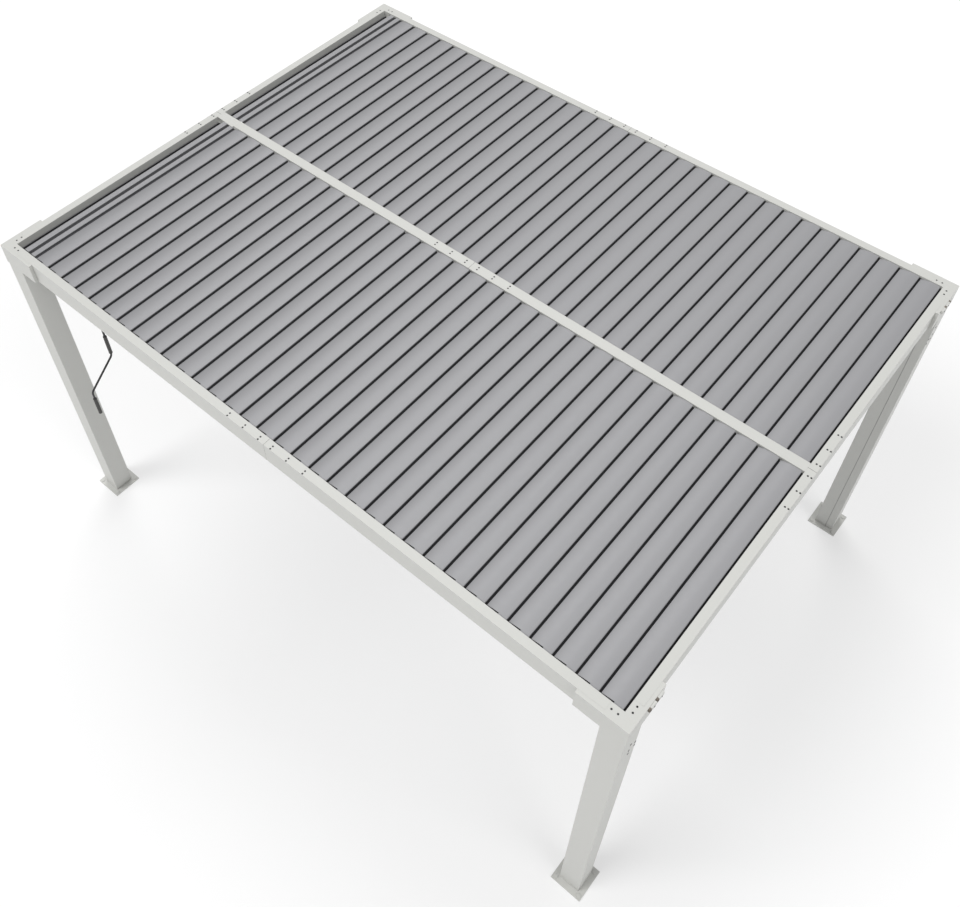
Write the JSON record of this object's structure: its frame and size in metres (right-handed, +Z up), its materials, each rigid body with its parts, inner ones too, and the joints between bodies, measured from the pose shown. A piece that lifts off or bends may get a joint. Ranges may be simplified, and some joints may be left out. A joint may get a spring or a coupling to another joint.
{
  "type": "louvred pergola",
  "caption": "Rectangular free-standing aluminium pergola with a roof of crank-turned louvres in two bays on square posts with base plates.",
  "frame": {"origin": "centre of the footprint on the floor", "axes": "+X along the long side, +Y along the short side towards the back, +Z up"},
  "size_m": [4.09, 3.07, 2.295],
  "materials": {
    "frame_white": "powder coated, satin warm white",
    "louvre_grey": "powder coated, satin mid grey",
    "bare_metal": "mill finish",
    "dark_metal": "black coated housing",
    "crank_steel": "dark grey coated steel",
    "dark_plastic": "matt black grips"
  },
  "bodies": {
    "frame": {"post_front_left": "frame_white", "post_front_right": "frame_white", "post_back_right": "frame_white", "post_back_left": "frame_white", "post_feet": "frame_white", "corner_front_left": "frame_white", "corner_front_right": "frame_white", "corner_back_right": "frame_white", "corner_back_left": "frame_white", "beam_front_left": "frame_white", "beam_front_right": "frame_white", "beam_back_left": "frame_white", "beam_back_right": "frame_white", "beam_left_front": "frame_white", "beam_left_back": "frame_white", "beam_right_front": "frame_white", "beam_right_back": "frame_white", "beam_centre_left": "frame_white", "beam_centre_right": "frame_white", "splice_joiners": "bare_metal", "end_fillers": "louvre_grey", "gearbox": "dark_metal"},
    "louvre_01": {"louvre_01": "louvre_grey"},
    "louvre_02": {"louvre_02": "louvre_grey"},
    "louvre_03": {"louvre_03": "louvre_grey"},
    "louvre_04": {"louvre_04": "louvre_grey"},
    "louvre_05": {"louvre_05": "louvre_grey"},
    "louvre_06": {"louvre_06": "louvre_grey"},
    "louvre_07": {"louvre_07": "louvre_grey"},
    "louvre_08": {"louvre_08": "louvre_grey"},
    "louvre_09": {"louvre_09": "louvre_grey"},
    "louvre_10": {"louvre_10": "louvre_grey"},
    "louvre_11": {"louvre_11": "louvre_grey"},
    "louvre_12": {"louvre_12": "louvre_grey"},
    "louvre_13": {"louvre_13": "louvre_grey"},
    "louvre_14": {"louvre_14": "louvre_grey"},
    "louvre_15": {"louvre_15": "louvre_grey"},
    "louvre_16": {"louvre_16": "louvre_grey"},
    "louvre_17": {"louvre_17": "louvre_grey"},
    "louvre_18": {"louvre_18": "louvre_grey"},
    "louvre_19": {"louvre_19": "louvre_grey"},
    "louvre_20": {"louvre_20": "louvre_grey"},
    "louvre_21": {"louvre_21": "louvre_grey"},
    "louvre_22": {"louvre_22": "louvre_grey"},
    "louvre_23": {"louvre_23": "louvre_grey"},
    "louvre_24": {"louvre_24": "louvre_grey"},
    "louvre_25": {"louvre_25": "louvre_grey"},
    "louvre_26": {"louvre_26": "louvre_grey"},
    "louvre_27": {"louvre_27": "louvre_grey"},
    "louvre_28": {"louvre_28": "louvre_grey"},
    "louvre_29": {"louvre_29": "louvre_grey"},
    "louvre_30": {"louvre_30": "louvre_grey"},
    "louvre_31": {"louvre_31": "louvre_grey"},
    "louvre_32": {"louvre_32": "louvre_grey"},
    "louvre_33": {"louvre_33": "louvre_grey"},
    "tie_bars": {"tie_bars": "bare_metal"},
    "gear_lever": {"gear_lever": "bare_metal"},
    "drive_link": {"drive_link": "bare_metal"},
    "crank": {"crank": "crank_steel", "crank_grips": "dark_plastic"}
  },
  "joints": [
    {"name": "crank_turn", "type": "hinge", "parent": "frame", "child": "crank", "pos_m": [-1.58, -1.33, 2.103], "axis": [0, 0, 1], "range_deg": [0, 3600]},
    {"name": "louvre_01_turn", "type": "hinge", "parent": "frame", "child": "louvre_01", "pos_m": [-1.7447, 0, 2.276], "axis": [0, -1, 0], "range_deg": [0, 90]},
    {"name": "louvre_02_turn", "type": "hinge", "parent": "frame", "child": "louvre_02", "pos_m": [-1.6311, 0, 2.276], "axis": [0, -1, 0], "range_deg": [0, 90]},
    {"name": "louvre_03_turn", "type": "hinge", "parent": "frame", "child": "louvre_03", "pos_m": [-1.5175, 0, 2.276], "axis": [0, -1, 0], "range_deg": [0, 90]},
    {"name": "louvre_04_turn", "type": "hinge", "parent": "frame", "child": "louvre_04", "pos_m": [-1.4039, 0, 2.276], "axis": [0, -1, 0], "range_deg": [0, 90]},
    {"name": "louvre_05_turn", "type": "hinge", "parent": "frame", "child": "louvre_05", "pos_m": [-1.2903, 0, 2.276], "axis": [0, -1, 0], "range_deg": [0, 90]},
    {"name": "louvre_06_turn", "type": "hinge", "parent": "frame", "child": "louvre_06", "pos_m": [-1.1767, 0, 2.276], "axis": [0, -1, 0], "range_deg": [0, 90]},
    {"name": "louvre_07_turn", "type": "hinge", "parent": "frame", "child": "louvre_07", "pos_m": [-1.0631, 0, 2.276], "axis": [0, -1, 0], "range_deg": [0, 90]},
    {"name": "louvre_08_turn", "type": "hinge", "parent": "frame", "child": "louvre_08", "pos_m": [-0.9495, 0, 2.276], "axis": [0, -1, 0], "range_deg": [0, 90]},
    {"name": "louvre_09_turn", "type": "hinge", "parent": "frame", "child": "louvre_09", "pos_m": [-0.8359, 0, 2.276], "axis": [0, -1, 0], "range_deg": [0, 90]},
    {"name": "louvre_10_turn", "type": "hinge", "parent": "frame", "child": "louvre_10", "pos_m": [-0.7223, 0, 2.276], "axis": [0, -1, 0], "range_deg": [0, 90]},
    {"name": "louvre_11_turn", "type": "hinge", "parent": "frame", "child": "louvre_11", "pos_m": [-0.6087, 0, 2.276], "axis": [0, -1, 0], "range_deg": [0, 90]},
    {"name": "louvre_12_turn", "type": "hinge", "parent": "frame", "child": "louvre_12", "pos_m": [-0.4951, 0, 2.276], "axis": [0, -1, 0], "range_deg": [0, 90]},
    {"name": "louvre_13_turn", "type": "hinge", "parent": "frame", "child": "louvre_13", "pos_m": [-0.3815, 0, 2.276], "axis": [0, -1, 0], "range_deg": [0, 90]},
    {"name": "louvre_14_turn", "type": "hinge", "parent": "frame", "child": "louvre_14", "pos_m": [-0.2679, 0, 2.276], "axis": [0, -1, 0], "range_deg": [0, 90]},
    {"name": "louvre_15_turn", "type": "hinge", "parent": "frame", "child": "louvre_15", "pos_m": [-0.1543, 0, 2.276], "axis": [0, -1, 0], "range_deg": [0, 90]},
    {"name": "louvre_16_turn", "type": "hinge", "parent": "frame", "child": "louvre_16", "pos_m": [-0.0407, 0, 2.276], "axis": [0, -1, 0], "range_deg": [0, 90]},
    {"name": "louvre_17_turn", "type": "hinge", "parent": "frame", "child": "louvre_17", "pos_m": [0.0729, 0, 2.276], "axis": [0, -1, 0], "range_deg": [0, 90]},
    {"name": "louvre_18_turn", "type": "hinge", "parent": "frame", "child": "louvre_18", "pos_m": [0.1865, 0, 2.276], "axis": [0, -1, 0], "range_deg": [0, 90]},
    {"name": "louvre_19_turn", "type": "hinge", "parent": "frame", "child": "louvre_19", "pos_m": [0.3001, 0, 2.276], "axis": [0, -1, 0], "range_deg": [0, 90]},
    {"name": "louvre_20_turn", "type": "hinge", "parent": "frame", "child": "louvre_20", "pos_m": [0.4137, 0, 2.276], "axis": [0, -1, 0], "range_deg": [0, 90]},
    {"name": "louvre_21_turn", "type": "hinge", "parent": "frame", "child": "louvre_21", "pos_m": [0.5273, 0, 2.276], "axis": [0, -1, 0], "range_deg": [0, 90]},
    {"name": "louvre_22_turn", "type": "hinge", "parent": "frame", "child": "louvre_22", "pos_m": [0.6409, 0, 2.276], "axis": [0, -1, 0], "range_deg": [0, 90]},
    {"name": "louvre_23_turn", "type": "hinge", "parent": "frame", "child": "louvre_23", "pos_m": [0.7545, 0, 2.276], "axis": [0, -1, 0], "range_deg": [0, 90]},
    {"name": "louvre_24_turn", "type": "hinge", "parent": "frame", "child": "louvre_24", "pos_m": [0.8681, 0, 2.276], "axis": [0, -1, 0], "range_deg": [0, 90]},
    {"name": "louvre_25_turn", "type": "hinge", "parent": "frame", "child": "louvre_25", "pos_m": [0.9817, 0, 2.276], "axis": [0, -1, 0], "range_deg": [0, 90]},
    {"name": "louvre_26_turn", "type": "hinge", "parent": "frame", "child": "louvre_26", "pos_m": [1.0953, 0, 2.276], "axis": [0, -1, 0], "range_deg": [0, 90]},
    {"name": "louvre_27_turn", "type": "hinge", "parent": "frame", "child": "louvre_27", "pos_m": [1.2089, 0, 2.276], "axis": [0, -1, 0], "range_deg": [0, 90]},
    {"name": "louvre_28_turn", "type": "hinge", "parent": "frame", "child": "louvre_28", "pos_m": [1.3225, 0, 2.276], "axis": [0, -1, 0], "range_deg": [0, 90]},
    {"name": "louvre_29_turn", "type": "hinge", "parent": "frame", "child": "louvre_29", "pos_m": [1.4361, 0, 2.276], "axis": [0, -1, 0], "range_deg": [0, 90]},
    {"name": "louvre_30_turn", "type": "hinge", "parent": "frame", "child": "louvre_30", "pos_m": [1.5497, 0, 2.276], "axis": [0, -1, 0], "range_deg": [0, 90]},
    {"name": "louvre_31_turn", "type": "hinge", "parent": "frame", "child": "louvre_31", "pos_m": [1.6633, 0, 2.276], "axis": [0, -1, 0], "range_deg": [0, 90]},
    {"name": "louvre_32_turn", "type": "hinge", "parent": "frame", "child": "louvre_32", "pos_m": [1.7769, 0, 2.276], "axis": [0, -1, 0], "range_deg": [0, 90]},
    {"name": "louvre_33_turn", "type": "hinge", "parent": "frame", "child": "louvre_33", "pos_m": [1.8905, 0, 2.276], "axis": [0, -1, 0], "range_deg": [0, 90]},
    {"name": "tie_bars_swing", "type": "hinge", "parent": "louvre_17", "child": "tie_bars", "pos_m": [0.0383, 0, 2.256], "axis": [0, -1, 0], "range_deg": [-90, 0]},
    {"name": "gear_lever_turn", "type": "hinge", "parent": "frame", "child": "gear_lever", "pos_m": [-1.5465, -1.299, 2.131], "axis": [0, -1, 0], "range_deg": [0, 90]},
    {"name": "drive_link_swing", "type": "hinge", "parent": "gear_lever", "child": "drive_link", "pos_m": [-1.5805, -1.291, 2.097], "axis": [0, -1, 0], "range_deg": [-90, 0]}
  ],
  "couplings": [
    {"joint": "louvre_01_turn", "follows": "crank_turn", "ratio": 0.025},
    {"joint": "louvre_02_turn", "follows": "crank_turn", "ratio": 0.025},
    {"joint": "louvre_03_turn", "follows": "crank_turn", "ratio": 0.025},
    {"joint": "louvre_04_turn", "follows": "crank_turn", "ratio": 0.025},
    {"joint": "louvre_05_turn", "follows": "crank_turn", "ratio": 0.025},
    {"joint": "louvre_06_turn", "follows": "crank_turn", "ratio": 0.025},
    {"joint": "louvre_07_turn", "follows": "crank_turn", "ratio": 0.025},
    {"joint": "louvre_08_turn", "follows": "crank_turn", "ratio": 0.025},
    {"joint": "louvre_09_turn", "follows": "crank_turn", "ratio": 0.025},
    {"joint": "louvre_10_turn", "follows": "crank_turn", "ratio": 0.025},
    {"joint": "louvre_11_turn", "follows": "crank_turn", "ratio": 0.025},
    {"joint": "louvre_12_turn", "follows": "crank_turn", "ratio": 0.025},
    {"joint": "louvre_13_turn", "follows": "crank_turn", "ratio": 0.025},
    {"joint": "louvre_14_turn", "follows": "crank_turn", "ratio": 0.025},
    {"joint": "louvre_15_turn", "follows": "crank_turn", "ratio": 0.025},
    {"joint": "louvre_16_turn", "follows": "crank_turn", "ratio": 0.025},
    {"joint": "louvre_17_turn", "follows": "crank_turn", "ratio": 0.025},
    {"joint": "louvre_18_turn", "follows": "crank_turn", "ratio": 0.025},
    {"joint": "louvre_19_turn", "follows": "crank_turn", "ratio": 0.025},
    {"joint": "louvre_20_turn", "follows": "crank_turn", "ratio": 0.025},
    {"joint": "louvre_21_turn", "follows": "crank_turn", "ratio": 0.025},
    {"joint": "louvre_22_turn", "follows": "crank_turn", "ratio": 0.025},
    {"joint": "louvre_23_turn", "follows": "crank_turn", "ratio": 0.025},
    {"joint": "louvre_24_turn", "follows": "crank_turn", "ratio": 0.025},
    {"joint": "louvre_25_turn", "follows": "crank_turn", "ratio": 0.025},
    {"joint": "louvre_26_turn", "follows": "crank_turn", "ratio": 0.025},
    {"joint": "louvre_27_turn", "follows": "crank_turn", "ratio": 0.025},
    {"joint": "louvre_28_turn", "follows": "crank_turn", "ratio": 0.025},
    {"joint": "louvre_29_turn", "follows": "crank_turn", "ratio": 0.025},
    {"joint": "louvre_30_turn", "follows": "crank_turn", "ratio": 0.025},
    {"joint": "louvre_31_turn", "follows": "crank_turn", "ratio": 0.025},
    {"joint": "louvre_32_turn", "follows": "crank_turn", "ratio": 0.025},
    {"joint": "louvre_33_turn", "follows": "crank_turn", "ratio": 0.025},
    {"joint": "tie_bars_swing", "follows": "crank_turn", "ratio": -0.025},
    {"joint": "gear_lever_turn", "follows": "crank_turn", "ratio": 0.025},
    {"joint": "drive_link_swing", "follows": "crank_turn", "ratio": -0.025}
  ]
}
